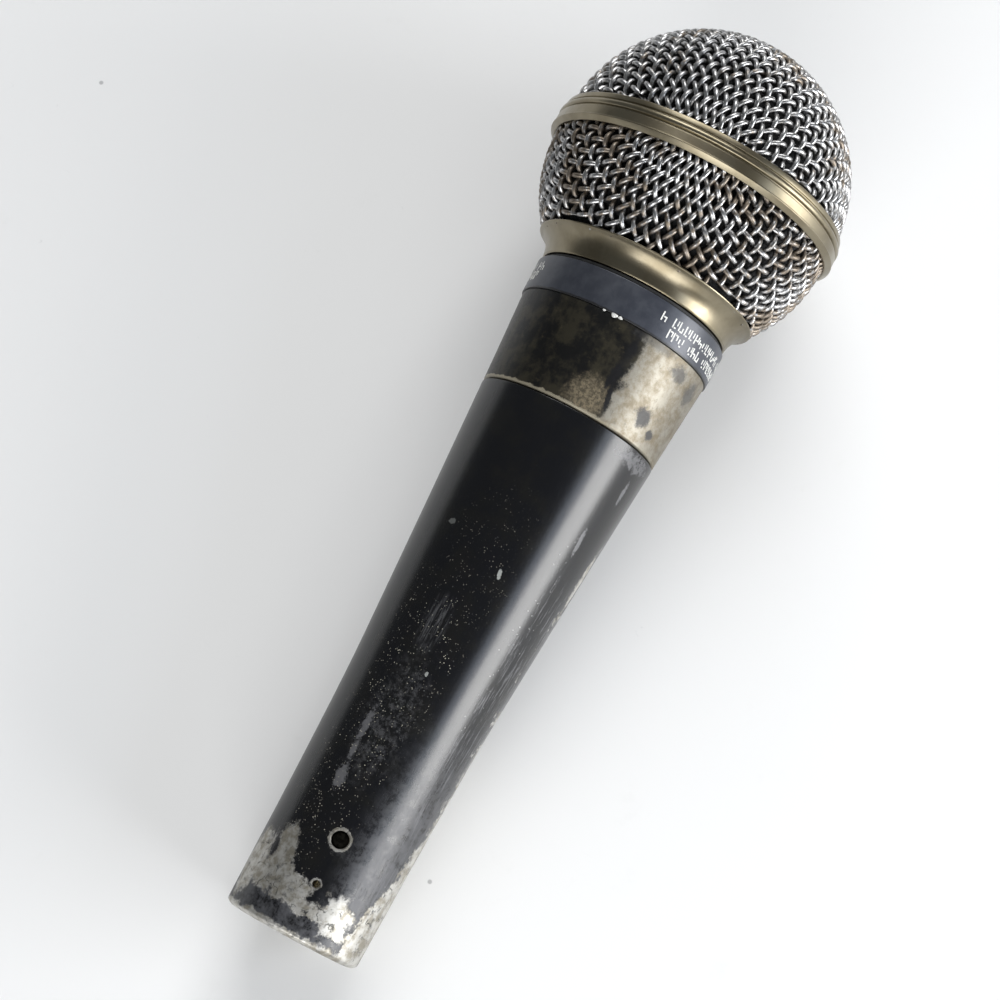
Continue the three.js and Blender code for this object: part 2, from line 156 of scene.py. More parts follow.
def thread_run(radius, low, high, depth, down=False):
    """Closely spaced (r, s, 0, thread depth) points along a threaded wall."""
    rings_per_turn = 7
    run_out = 0.6
    steps = int((high - low) / (THREAD_PITCH / rings_per_turn))
    run = []
    for k in range(steps + 1):
        s = low + (high - low) * k / steps
        fade = max(min(1, (s - low) / run_out, (high - s) / run_out), 0)
        run.append((radius, s, 0, depth * fade))
    return run[::-1] if down else run


def revolve(outline, segments):
    """Vertices and faces of an outline turned about the axis. A closed loop makes a ring, and an
    outline that starts and ends on the axis a solid. Points with a thread depth carry a helix."""
    vertices = []
    faces = []
    rings = []
    for point in outline:
        r, s = point[:2]
        depth = point[3] if len(point) > 3 else 0
        if abs(r) < 1e-6:
            rings.append([len(vertices)])
            vertices.append((0, 0, s))
            continue
        ring = []
        for k in range(segments):
            angle = 2 * math.pi * k / segments
            phase = (s / THREAD_PITCH - k / segments) % 1
            radius = r + depth * (abs(2 * phase - 1) - 0.5)
            ring.append(len(vertices))
            vertices.append((radius * math.cos(angle), radius * math.sin(angle), s))
        rings.append(ring)
    pairs = list(zip(rings, rings[1:]))
    if len(rings[0]) > 1:
        pairs.append((rings[-1], rings[0]))
    for low, high in pairs:
        for k in range(segments):
            n = (k + 1) % segments
            if len(low) == 1 and len(high) == 1:
                continue
            if len(low) == 1:
                faces.append((low[0], high[n], high[k]))
            elif len(high) == 1:
                faces.append((low[k], low[n], high[0]))
            else:
                faces.append((low[k], low[n], high[n], high[k]))
    return vertices, faces


def turned(name, outline, body, material, segments=176, place=Matrix.Identity(4), **settings):
    """A turned piece from (r, s, fillet) corners. A place moves it off the microphone's axis."""
    vertices, faces = revolve(rounded(outline), segments)
    return piece(name, [place @ Vector(v) for v in vertices], faces, body, material, **settings)


def cutter(outline, place, segments=48):
    """A throwaway turned solid about its own z, set in the axis frame by a matrix in mm."""
    vertices, faces = revolve(outline, segments)
    return solid("cutter", [place @ Vector(v) for v in vertices], faces)


def carve(target, cutters):
    """Cuts the cutters out of a piece and keeps the result as its mesh."""
    for tool in cutters:
        cut = target.modifiers.new("cut", "BOOLEAN")
        cut.operation = "DIFFERENCE"
        cut.solver = "EXACT"
        cut.object = tool
    graph = bpy.context.evaluated_depsgraph_get()
    carved = bpy.data.meshes.new_from_object(target.evaluated_get(graph))
    target.modifiers.clear()
    target.data = carved
    smoothed(carved)
    for tool in cutters:
        bpy.data.objects.remove(tool)


def facing_out(s):
    """A matrix that turns z outwards, square to the axis, at a place along it."""
    return Matrix.Translation((0, 0, s)) @ Matrix.Rotation(math.radians(90), 4, "Y")


# ---- node materials -----------------------------------------------------------------------
class Finish:
    """A procedural material. Its positions are axis-frame millimetres."""

    def __init__(self, name, **uniform):
        self.material = bpy.data.materials.new(name)
        self.material.use_nodes = True
        self.nodes = self.material.node_tree.nodes
        self.links = self.material.node_tree.links
        self.shader = self.nodes["Principled BSDF"]
        for socket, value in uniform.items():
            self.shader.inputs[socket.replace("_", " ")].default_value = value
        off_end = self.vector("SUBTRACT", self.node("TexCoord", {})["Object"], HANDLE_END)
        along = {key: self.vector("DOT_PRODUCT", off_end, way / MM, output="Value")
                 for key, way in (("X", HOLE_OUT), ("Y", SIDE), ("Z", AXIS))}
        self.place = self.node("CombineXYZ", along)["Vector"]
        self.x, y, self.s = self.node("SeparateXYZ", {"Vector": self.place})
        self.degrees = self.times(self.math("ARCTAN2", y, self.x), 180 / math.pi)
        self.bumps = None

    def set(self, socket, value):
        if isinstance(value, bpy.types.NodeSocket):
            self.links.new(value, socket)
        else:
            socket.default_value = value

    def node(self, kind, inputs, **settings):
        """The outputs of a new node with these settings and inputs."""
        node = self.nodes.new("ShaderNode" + kind)
        for name, value in settings.items():
            setattr(node, name, value)
        for key, value in inputs.items():
            self.set(node.inputs[key], value)
        return node.outputs

    def math(self, operation, a, b=0.0, clamp=False):
        return self.node("Math", {0: a, 1: b}, operation=operation, use_clamp=clamp)[0]

    def chain(self, operation, values):
        """The values joined one after another by the same operation."""
        result = values[0]
        for value in values[1:]:
            result = self.math(operation, result, value)
        return result

    def add(self, *values):
        return self.chain("ADD", values)

    def times(self, *values):
        return self.chain("MULTIPLY", values)

    def most(self, *values):
        return self.chain("MAXIMUM", values)

    def vector(self, operation, a, b=(0, 0, 0), scale=1.0, output="Vector"):
        scale_input = 3
        return self.node("VectorMath", {0: a, 1: b, scale_input: scale}, operation=operation)[output]

    def stretched(self, along):
        """The position squeezed along the axis, so that a texture runs out into streaks."""
        return self.vector("MULTIPLY", self.place, (1, 1, along))

    def moved(self, at, x, y, z):
        """A position, or the plain one if it is None, moved off by some amounts."""
        return self.vector("ADD", self.place if at is None else at, (x, y, z))

    def noise(self, scale, detail, roughness, at=None, seed=0.0, output="Fac"):
        place = self.moved(at, seed, seed * 1.7, seed * 0.6)
        inputs = {"Vector": place, "Scale": scale, "Detail": detail, "Roughness": roughness}
        return self.node("TexNoise", inputs)[output]

    def swing(self, amount, scale, detail, roughness, seed):
        """Noise that swings about zero."""
        return self.times(self.add(self.noise(scale, detail, roughness, seed=seed), -0.5), amount)

    def cells(self, scale, at=None, feature="F1", seed=0.0):
        place = self.moved(at, seed, seed * 0.4, seed * 1.3)
        return self.node("TexVoronoi", {"Vector": place, "Scale": scale}, feature=feature)["Distance"]

    def span(self, value, low, high, out_low=0.0, out_high=1.0, smooth=True):
        """value from low..high to out_low..out_high, clamped; low may be above high."""
        kind = "SMOOTHSTEP" if smooth else "LINEAR"
        inputs = {"Value": value, "From Min": low, "From Max": high, "To Min": out_low, "To Max": out_high}
        return self.node("MapRange", inputs, interpolation_type=kind)["Result"]

    def mix(self, factor, a, b):
        """Colours a and b mixed; either may be a socket."""
        return self.node("Mix", {"Factor": factor, "A": rgba(a), "B": rgba(b)}, data_type="RGBA")["Result"]

    def blend(self, factor, a, b):
        """Numbers a and b mixed."""
        return self.node("Mix", {"Factor": factor, "A": a, "B": b})["Result"]

    def lines(self, scale, along, width, seed, share=0.5):
        """Broken hair lines; along below 1 draws them out along the axis, above 1 round it."""
        drawn = self.noise(scale, 2, 0.5, at=self.stretched(along), seed=seed)
        off = self.math("ABSOLUTE", self.add(drawn, -0.5))
        here = self.span(self.noise(0.35, 3, 0.6, seed=seed + 5), 1 - share, 1.12 - share)
        return self.times(self.span(off, width, width * 0.3), here)

    def patch(self, angle, s, width, length, radius, ragged, edge=0.1, lean=0.0, grain=None):
        """A ragged patch centred at an angle and distance; width and length are half sizes."""
        if grain is None:
            grain = min(max(1.2 / min(width, length), 0.55), 3.2)
        across = self.times(self.add(self.degrees, -angle), radius * math.pi / 180)
        along = self.add(self.s, -s)
        c = math.cos(math.radians(lean))
        k = math.sin(math.radians(lean))
        u = self.add(self.times(across, c / width), self.times(along, k / width))
        v = self.add(self.times(along, c / length), self.times(across, -k / length))
        far = self.math("SQRT", self.add(self.times(u, u), self.times(v, v)))
        wander = self.swing(ragged * 2.4, grain, 9, 0.72, angle * 0.37 + s)
        return self.span(self.add(far, wander), 1 + edge, 1 - edge)

    def patches(self, *rows):
        """Several patches at once, each given as the values of one patch."""
        return self.most(*[self.patch(*row) for row in rows])

    def bump(self, height, distance, strength):
        """Adds relief; distance is in millimetres."""
        under = {"Normal": self.bumps} if self.bumps is not None else {}
        inputs = {"Strength": strength, "Distance": distance * MM, "Height": height, **under}
        self.bumps = self.node("Bump", inputs)["Normal"]

    def done(self, colour, roughness, metallic):
        values = {"Base Color": rgba(colour), "Roughness": roughness, "Metallic": metallic}
        for key, value in values.items():
            self.set(self.shader.inputs[key], value)
        if self.bumps is not None:
            self.links.new(self.bumps, self.shader.inputs["Normal"])
        return self.material


def rgba(colour):
    return (*colour, 1.0) if isinstance(colour, tuple) and len(colour) == 3 else colour


def hole_rims(f):
    """Rings of bare metal round the two holes."""
    rims = []
    for s, radius in ((LOCK_HOLE_S, 1.84), (LATCH_HOLE_S, 0.86)):
        off = f.vector("MULTIPLY", f.vector("SUBTRACT", f.place, (11.5, 0, s)), (0, 1, 1))
        far = f.vector("LENGTH", off, output="Value")
        near = f.add(far, f.swing(0.8, 1.6, 6, 0.7, 8))
        rims.append(f.times(f.span(near, radius + 0.12, radius - 0.1), f.span(f.x, 8, 9, 0, 0.7)))
    return f.most(*rims)


def worn_through(f):
    """Where the enamel has gone: mostly near the connector end and along the far side."""
    ragged = f.swing(1, 0.45, 10, 0.7, 3.1)
    end = f.patches((-43, 8.4, 4.4, 4.2, 11.4, 0.9, 0.22),
                    (-38, 12.4, 1.8, 2.8, 11.4, 0.9, 0.3),
                    (-17, 6.6, 3.4, 2.2, 11.4, 0.9, 0.2),
                    (4, 4.8, 3.0, 1.3, 11.4, 1.0, 0.25),
                    (27, 5.4, 3.2, 3.4, 11.4, 0.9, 0.3),
                    (-66, 7.5, 3.0, 5.5, 11.4, 0.7, 0.2))
    kept = f.patches((-47, 11.0, 0.9, 1.7, 11.5, 0.9, 0.4),
                     (-43, 3.2, 2.6, 1.3, 11.3, 0.9, 0.3),
                     (-14, 2.6, 3.4, 0.8, 11.3, 1.0, 0.3, 0, 0.9),
                     (8, 2.9, 1.8, 1.2, 11.3, 1.1, 0.3),
                     (30, 2.2, 1.6, 0.6, 11.3, 1.2, 0.4),
                     (-16, 10.0, 0.9, 1.0, 11.4, 0.9, 0.4),
                     (12, 7.2, 0.7, 0.7, 11.4, 1.0, 0.4),
                     (42, 8.8, 1.8, 1.2, 11.4, 1.1, 0.4),
                     (38, 12.6, 0.6, 2.4, 11.5, 1.0, 0.5))
    # on the far side a wavy edge runs up from the end, past which the metal is bare
    edge_angle = f.span(f.s, 3, 27, 38, 76, smooth=False)
    past = f.times(f.math("SUBTRACT", f.degrees, edge_angle), 0.09)
    side = f.times(f.span(f.add(past, f.times(ragged, 5)), 0.15, 0.6),
                   f.span(f.add(f.s, f.times(ragged, 60)), 44, 36))
    under = f.span(f.add(f.times(f.span(f.math("ABSOLUTE", f.degrees), 105, 160), 0.5), ragged), 0.42, 0.47)
    rim = f.span(f.add(f.s, f.times(ragged, 4.0)), 1.3, 0.7)
    strip = f.times(f.patch(79, 70, 1.1, 4.6, 14, 1.4, edge=0.15), f.span(f.degrees, 66, 70))
    chips = f.times(f.span(f.degrees, 68, 76), f.span(f.noise(0.3, 8, 0.7, seed=31), 0.56, 0.59),
                    f.span(f.s, 70, 62))
    gone = f.math("SUBTRACT", end, kept, clamp=True)
    return f.most(gone, side, f.times(under, f.span(f.s, 62, 40)), rim, strip, chips, hole_rims(f))


def pale_flecks(f):
    """Clusters of fine pale specks, hardly visible dust and a few larger chips."""
    zone = f.most(f.patch(-24, 26, 5.5, 14, 11.8, 0.7, 0.5, 0, 0.16),
                  f.patch(-18, 45, 6, 14, 12.6, 0.7, 0.5, 0, 0.16),
                  f.times(f.patch(-8, 62, 6, 12, 13.4, 0.7, 0.5, 0, 0.16), 0.3))
    clumps = f.span(f.noise(0.5, 5, 0.7, seed=21), 0.42, 0.56)
    speck = f.span(f.cells(2.3, seed=5.0), 0.27, 0.17)
    lottery = f.span(f.noise(1.1, 1, 0.5, seed=14), 0.45, 0.56)
    fine = f.times(speck, lottery, zone, clumps)
    spot = f.span(f.add(f.cells(1.3, seed=9.0), f.times(f.noise(4, 3, 0.6, seed=3), 0.25)), 0.34, 0.2)
    few = f.span(f.noise(0.8, 2, 0.5, seed=4), 0.46, 0.58)
    shoulder = f.patch(45, 56, 2.4, 20, 13.4, 0.5, grain=0.4)
    spots = f.times(spot, few, f.add(f.times(zone, 0.4), shoulder))
    chips = f.most(f.patch(8.9, 63.5, 0.3, 0.85, 13.5, 0.8, lean=14),
                   f.patch(-2, 44.7, 0.26, 0.4, 12.5, 0.9),
                   f.times(f.patch(-37, 67.6, 0.6, 0.5, 13.8, 0.9), 0.35))
    return fine, f.most(f.times(spots, 0.7), chips)


def grey_scuffs_and_sheen(f):
    """Rubbed grey marks that still lie in the enamel, and grey streaks in the key highlight's band that are
    partly a painted streaky highlight.
    """
    scuffs = f.patches((-23, 25, 0.8, 2.1, 11.8, 1.3, 0.3, 4),
                       (-24, 29.5, 0.45, 1.5, 11.8, 1.3, 0.3),
                       (-24.5, 33.6, 0.6, 2.8, 12, 1.3, 0.3, -3),
                       (60, 84.6, 0.45, 1.9, 14.9, 1.4, 0.3),
                       (48, 74.2, 0.4, 2.2, 14.2, 1.4, 0.3, 3))
    streaks = f.noise(2.2, 6, 0.7, at=f.stretched(0.06), seed=2)
    brushed = f.times(f.patch(-14, 51.9, 1.6, 4.0, 12.9, 0.5, edge=0.6), f.span(streaks, 0.42, 0.62))
    cloud = f.patch(-12, 36, 3.5, 9, 12.2, 0.8, grain=0.3, edge=0.6)
    cloud = f.times(cloud, f.span(f.noise(0.9, 8, 0.75, seed=8), 0.45, 0.62))
    # grey axial streaks only in the band where the key light's highlight falls: real hairline scratches and
    # a painted streaky highlight
    hairlines_and_sheen = f.times(f.span(streaks, 0.5, 0.66), f.span(f.degrees, 32, 50), f.span(f.s, 72, 60))
    smudge = f.patch(54, 89.6, 4.0, 1.3, 15.2, 1.2, edge=0.4)
    smudge = f.times(smudge, f.span(f.noise(1.2, 8, 0.75, seed=3), 0.36, 0.56))
    # worn here also carries the painted streaky highlight of the key band
    worn = f.most(f.times(brushed, 0.5), f.times(cloud, 0.3), f.times(hairlines_and_sheen, 0.5), f.times(smudge, 0.6))
    return f.most(f.times(scuffs, 0.65), worn)


def bare_metal(f):
    """Cast metal: mottled pale grey with a warm tint, fine cracks and dark pits."""
    mottle = f.noise(0.5, 8, 0.68, seed=12)
    metal = f.mix(f.span(mottle, 0.4, 0.62), (0.5, 0.49, 0.46), (0.27, 0.25, 0.205))
    metal = f.mix(f.span(f.noise(0.7, 9, 0.75, seed=17), 0.52, 0.66, 0, 0.8), metal, (0.1, 0.1, 0.1))
    shift = f.vector("SCALE", f.noise(0.8, 4, 0.5, output="Color"), scale=1.6)
    cracked = f.vector("ADD", f.place, shift)
    cracks = f.span(f.cells(0.34, at=cracked, feature="DISTANCE_TO_EDGE", seed=4), 0.03, 0.008)
    cracks = f.times(cracks, f.span(f.noise(0.5, 4, 0.6, seed=40), 0.5, 0.6))
    return f.mix(f.times(cracks, 0.85), metal, (0.03, 0.03, 0.03))


def handle_enamel():
    """Black enamel: chipped, scuffed, rubbed along one side and worn to metal at the end. The grey of the
    rubbed side and the grey streaks in the key highlight's band are partly a painted highlight.
    """
    f = Finish("worn_black_enamel", Specular_IOR_Level=0.56)
    bare = worn_through(f)
    flecks, chips = pale_flecks(f)
    scuffs_and_sheen = grey_scuffs_and_sheen(f)
    tone = f.span(f.noise(0.22, 5, 0.6, seed=1), 0.4, 0.7)
    black = f.mix(tone, (0.0025, 0.0027, 0.0038), (0.005, 0.0048, 0.0042))
    # near the worn end the enamel is rubbed thin and grey, and crossed by fine scratches; the grey grows
    # towards the key-lit side, where it is also a painted broad highlight
    thin_and_sheen = f.times(f.span(f.s, 46, 12), f.span(f.noise(0.5, 9, 0.75, seed=60), 0.34, 0.6),
                   f.most(f.span(f.degrees, 0, 34), f.span(f.s, 6, 4)))
    black = f.mix(f.times(thin_and_sheen, 0.6), black, (0.1, 0.102, 0.112))
    cracks = f.times(f.most(f.lines(1.3, 0.12, 0.02, 70), f.lines(1.3, 6, 0.016, 71, 0.42)),
                     f.span(f.s, 36, 24))
    black = f.mix(f.times(cracks, 0.8), black, (0.002, 0.002, 0.002))
    grey = f.mix(f.noise(1.5, 6, 0.7, seed=19), (0.09, 0.09, 0.095), (0.2, 0.2, 0.21))
    # grey scuffs, with the painted streaky highlight of the key band among them
    colour = f.mix(scuffs_and_sheen, black, grey)
    colour = f.mix(flecks, colour, (0.36, 0.34, 0.28))
    colour = f.mix(chips, colour, (0.24, 0.25, 0.24))
    colour = f.mix(bare, colour, bare_metal(f))
    brushed = f.noise(3.5, 5, 0.7, at=f.stretched(0.04), seed=7)
    dull_side = f.span(f.degrees, -40, -70, 0, 0.12)
    rough_black = f.add(f.times(brushed, 0.16), f.times(thin_and_sheen, 0.26), 0.14, dull_side)
    rough_metal = f.add(f.times(f.noise(1.2, 6, 0.7, seed=11), 0.24), 0.36)
    roughness = f.blend(bare, f.add(rough_black, f.times(scuffs_and_sheen, 0.3)), rough_metal)
    f.bump(f.times(bare, -1), 0.04, 0.8)
    f.bump(brushed, 0.006, 0.5)
    f.bump(f.times(cracks, -1), 0.01, 0.6)
    f.bump(f.noise(0.8, 6, 0.6, seed=23), 0.015, 0.5)
    return f.done(colour, roughness, f.times(bare, 0.8))


def housing_patina():
    """Dark patina on tan cast metal, rubbed bare on one side."""
    f = Finish("worn_housing_patina", Specular_IOR_Level=0.3)
    ragged = f.swing(1, 0.34, 10, 0.72, 5)
    fine = f.noise(1.9, 7, 0.7, seed=6)
    # the bare side's edge slants from the label down towards the hole side
    edge_angle = f.span(f.s, 93.5, 106.8, 15, 17, smooth=False)
    past = f.times(f.math("SUBTRACT", f.degrees, edge_angle), 1 / 16)
    far_side = f.span(f.degrees, 128, 108)
    wear = f.times(f.add(past, f.times(ragged, 1.6)), far_side)
    bare = f.span(wear, -0.08, 0.3)
    half_bare = f.times(f.patch(3, 94.2, 3.2, 3.0, 15.6, 0.6, 0.4, 30, 0.8), 0.9)
    streak = f.most(f.patches((14.6, 95.4, 0.45, 2.1, 15.6, 0.9, 0.3, 12),
                              (11.0, 99.0, 0.7, 2.4, 15.9, 1.1, 0.4, -4, 0.9)),
                    f.times(f.patch(13, 103.6, 0.7, 2.6, 16.2, 1.2, 0.6, 0, 0.9), 0.7))
    blots = f.most(f.patches((39.9, 96.0, 1.5, 1.5, 15.7, 1.2, 0.4), (52, 94.4, 0.9, 0.85, 15.6, 0.7, 0.3)),
                   f.times(f.patches((47, 105, 1.8, 1.3, 16.4, 1.3, 0.5),
                                     (66, 104.0, 1.6, 1.8, 16.4, 1.3, 0.5)), 0.8),
                   f.times(f.patch(24, 106.6, 4, 0.7, 16.5, 1.1, 0.5), 0.5))
    mottle = f.noise(0.45, 8, 0.7, seed=15)
    tan = f.mix(f.span(mottle, 0.36, 0.66), (0.25, 0.235, 0.198), (0.165, 0.14, 0.1))
    tan = f.mix(f.span(f.noise(1.2, 8, 0.75, seed=16), 0.54, 0.68, 0, 0.7), tan, (0.13, 0.12, 0.10))
    cloudy = f.span(f.noise(0.28, 7, 0.65, seed=9), 0.42, 0.62)
    dark = f.mix(cloudy, (0.0045, 0.0045, 0.0045), (0.026, 0.023, 0.015))
    dark = f.mix(f.span(f.noise(0.5, 8, 0.72, seed=10), 0.56, 0.72, 0, 0.6), dark, (0.06, 0.05, 0.03))
    brown = f.mix(f.span(fine, 0.38, 0.6), (0.2, 0.165, 0.11), (0.07, 0.06, 0.042))
    colour = f.mix(bare, dark, tan)
    colour = f.mix(half_bare, colour, brown)
    colour = f.mix(f.times(blots, 0.9), colour, (0.045, 0.045, 0.047))
    colour = f.mix(f.times(streak, 0.98), colour, (0.005, 0.005, 0.006))
    edge = f.add(f.s, f.swing(1.3, 0.7, 8, 0.7, 2))
    seam_line = f.times(f.span(edge, 92.15, 91.95), f.span(f.degrees, 30, 5, 0.25, 1))
    colour = f.mix(f.times(seam_line, 0.85), colour, (0.3, 0.27, 0.2))
    roughness = f.blend(bare, f.add(f.times(fine, 0.3), 0.24), f.add(f.times(mottle, 0.24), 0.38))
    f.bump(f.times(bare, -1), 0.03, 0.7)
    f.bump(fine, 0.02, 0.4)
    open_metal = f.math("SUBTRACT", 1.0, f.most(streak, f.times(blots, 0.6)), clamp=True)
    return f.done(colour, roughness, f.times(f.blend(bare, 0.15, 0.8), open_metal))


def slate_paint():
    f = Finish("slate_label_paint")
    grime = f.noise(0.5, 6, 0.6, seed=3)
    colour = f.mix(f.span(grime, 0.35, 0.7), (0.036, 0.04, 0.052), (0.052, 0.057, 0.07))
    low = f.add(f.s, f.swing(0.7, 0.9, 6, 0.7, 8))
    colour = f.mix(f.times(f.span(low, 107.7, 107.45), 0.8), colour, (0.012, 0.011, 0.01))
    f.bump(f.noise(3.5, 3, 0.6, seed=4), 0.006, 0.5)
    return f.done(colour, f.add(f.times(grime, 0.14), 0.27), 0.2)


def pale_paint():
    f = Finish("pale_print_paint")
    chipped = f.noise(2.4, 4, 0.6, seed=2)
    colour = f.mix(f.span(chipped, 0.5, 0.65), (0.66, 0.66, 0.63), (0.42, 0.42, 0.42))
    return f.done(colour, 0.5, 0.0)


def champagne_plate(name, dark_seed):
    """Satin champagne plating with fine turning marks and darker handled areas."""
    f = Finish(name)
    cloud = f.noise(0.16, 4, 0.6, seed=dark_seed)
    spots = f.span(f.noise(1.6, 4, 0.7, seed=dark_seed + 3), 0.66, 0.76, 0, 0.5)
    colour = f.mix(f.span(cloud, 0.35, 0.68), (0.26, 0.228, 0.162), (0.19, 0.162, 0.108))
    colour = f.mix(spots, colour, (0.09, 0.078, 0.05))
    rings = f.noise(2.5, 3, 0.6, at=f.vector("MULTIPLY", f.place, (0.05, 0.05, 3.0)), seed=1)
    grain = f.noise(6, 2, 0.6, seed=5)
    f.bump(rings, 0.004, 0.4)
    f.bump(grain, 0.006, 0.45)
    roughness = f.add(f.times(cloud, 0.12), f.times(grain, 0.06), 0.22)
    return f.done(colour, roughness, 1.0)


def wire_metal(name, brown_share, seed):
    """Plated wire: bright and duller in turn, tarnished brown in places."""
    f = Finish(name)
    cloud = f.noise(0.11, 3, 0.6, seed=seed)
    speckle = f.noise(0.75, 4, 0.65, seed=seed + 4)
    lows = f.add(f.times(cloud, 0.6), f.times(speckle, 0.55))
    brown = f.span(lows, 0.68 - brown_share, 0.78 - brown_share, 0.0, 0.85)
    worn = f.span(f.noise(1.1, 5, 0.7, seed=seed + 9), 0.42, 0.62)
    bright = f.mix(worn, (0.52, 0.52, 0.525), (0.26, 0.255, 0.245))
    rust = f.mix(f.noise(2.1, 3, 0.6, seed=seed + 1), (0.13, 0.095, 0.062), (0.23, 0.19, 0.145))
    colour = f.mix(brown, bright, rust)
    roughness = f.blend(brown, f.add(f.times(speckle, 0.2), 0.24), 0.5)
    f.bump(f.noise(4.5, 3, 0.6, seed=seed + 2), 0.008, 0.5)
    return f.done(colour, roughness, 1.0)


def plain_finish(name, dark, light, rough, metallic, scale=0.6, relief=0.01, streak=None):
    """A quiet two-tone finish with grain, for the inner pieces."""
    f = Finish(name)
    at = f.stretched(streak) if streak else None
    tone = f.noise(scale, 4, 0.6, at=at, seed=len(name))
    grain = f.noise(scale * 6, 3, 0.6, seed=2)
    f.bump(grain, relief, 0.5)
    colour = f.mix(f.span(tone, 0.36, 0.66), dark, light)
    return f.done(colour, f.add(f.times(grain, 0.15), rough - 0.07), metallic)


def foam_pores():
    f = Finish("open_cell_foam")
    pores = f.cells(1.6, seed=1)
    fine = f.noise(3.2, 3, 0.6, seed=2)
    colour = f.mix(f.span(pores, 0.2, 0.6), (0.004, 0.004, 0.004), (0.012, 0.012, 0.013))
    f.bump(f.add(pores, f.times(fine, 0.4)), 0.3, 0.9)
    return f.done(colour, f.add(f.times(fine, 0.1), 0.88), 0.0)


def winding_wire():
    """Fine turns of lacquered wire."""
    f = Finish("lacquered_winding")
    turns = f.math("SINE", f.times(f.x, 38))
    tone = f.noise(0.8, 3, 0.6, seed=2)
    colour = f.mix(f.span(turns, -1, 1), (0.16, 0.05, 0.02), (0.5, 0.2, 0.08))
    colour = f.mix(f.times(tone, 0.4), colour, (0.3, 0.12, 0.05))
    f.bump(turns, 0.04, 0.8)
    return f.done(colour, f.add(f.times(tone, 0.2), 0.25), 0.7)


ENAMEL = handle_enamel()
PATINA = housing_patina()
SLATE = slate_paint()
PALE_PAINT = pale_paint()
COLLAR_PLATE = champagne_plate("champagne_collar", 2.0)
BAND_PLATE = champagne_plate("champagne_band", 7.0)
DOME_WIRE = wire_metal("dome_wire_plating", 0.08, 11.0)
CONE_WIRE = wire_metal("cone_wire_plating", 0.16, 4.0)
FOAM = foam_pores()
RUBBER = plain_finish("black_moulded_rubber", (0.008, 0.008, 0.008), (0.018, 0.018, 0.018), 0.72, 0)
BLACK_PLASTIC = plain_finish("black_moulded_plastic", (0.012, 0.012, 0.013), (0.022, 0.022, 0.023), 0.42, 0)
CONTACT = plain_finish("dull_plated_contact", (0.52, 0.43, 0.25), (0.66, 0.58, 0.4), 0.28, 1, streak=0.1)
SCREW_ZINC = plain_finish("dull_zinc_screw", (0.035, 0.033, 0.028), (0.1, 0.095, 0.08), 0.5, 1, scale=1.5)
GROUND_STEEL = plain_finish("ground_steel", (0.3, 0.3, 0.31), (0.46, 0.46, 0.47), 0.36, 1, streak=0.15)
CORE_STEEL = plain_finish("lamination_steel", (0.16, 0.16, 0.17), (0.34, 0.33, 0.33), 0.45, 1, streak=6)
CAP_METAL = plain_finish("cartridge_satin_metal", (0.48, 0.48, 0.46), (0.6, 0.6, 0.58), 0.34, 1, streak=0.2)
SCREEN = plain_finish("fine_screen_cloth", (0.22, 0.22, 0.21), (0.45, 0.45, 0.43), 0.45, 1, scale=3)
BOARD = plain_finish("pressed_fibre_board", (0.22, 0.13, 0.055), (0.34, 0.22, 0.1), 0.7, 0, relief=0.02)
WAX = plain_finish("cloudy_potting_wax", (0.42, 0.33, 0.18), (0.6, 0.5, 0.32), 0.45, 0, scale=0.3)
FILM = plain_finish("formed_film", (0.5, 0.46, 0.36), (0.68, 0.64, 0.54), 0.25, 0, scale=0.4)
BLACK_LEAD = plain_finish("black_insulation", (0.012, 0.012, 0.012), (0.025, 0.025, 0.025), 0.4, 0)
RED_LEAD = plain_finish("red_insulation", (0.28, 0.02, 0.015), (0.42, 0.05, 0.035), 0.38, 0)
GREEN_LEAD = plain_finish("green_insulation", (0.02, 0.12, 0.06), (0.05, 0.22, 0.11), 0.38, 0)
COPPER = winding_wire()


# ---- handle -------------------------------------------------------------------------------
HANDLE_LINE = [(11.35, 1.2), (11.48, 9), (11.65, 20), (12.2, 40), (13.1, 56), (14.1, 72),
               (15.15, 88), (15.36, 91)]


def make_handle():
    outside = [(10.45, 0.0, 0.5), (11.3, 0.55, 0.5)] + smooth_run(HANDLE_LINE)
    outside += [(15.34, 91.27, 0.05)]
    bore = [(14.3, 91.3, 0.2)]
    bore += thread_run(13.98, 83.9, 91.0, 0.34, down=True)
    bore += [(14.0, 83.4), (12.7, 83.2), (11.8, 60), (10.9, 42), (10.3, 27), (9.7, 25), (9.7, 14.6)]
    bore += [(8.2, 14.6), (8.2, 0.8, 0.2), (8.9, 0.0, 0.2)]
    shell = turned("handle_tube", outside + bore, "handle", ENAMEL, segments=200,
                   replaces=["handle_shell"], slot="black_enamel")
    lock = [(0, 8.6), (1.4, 8.6), (1.4, 11.25), (1.66, 11.6), (1.66, 13), (0, 13)]
    latch = [(0, 7), (0.6, 7), (0.6, 11.2), (0.76, 11.45), (0.76, 13), (0, 13)]
    carve(shell, [cutter(lock, facing_out(LOCK_HOLE_S)), cutter(latch, facing_out(LATCH_HOLE_S))])


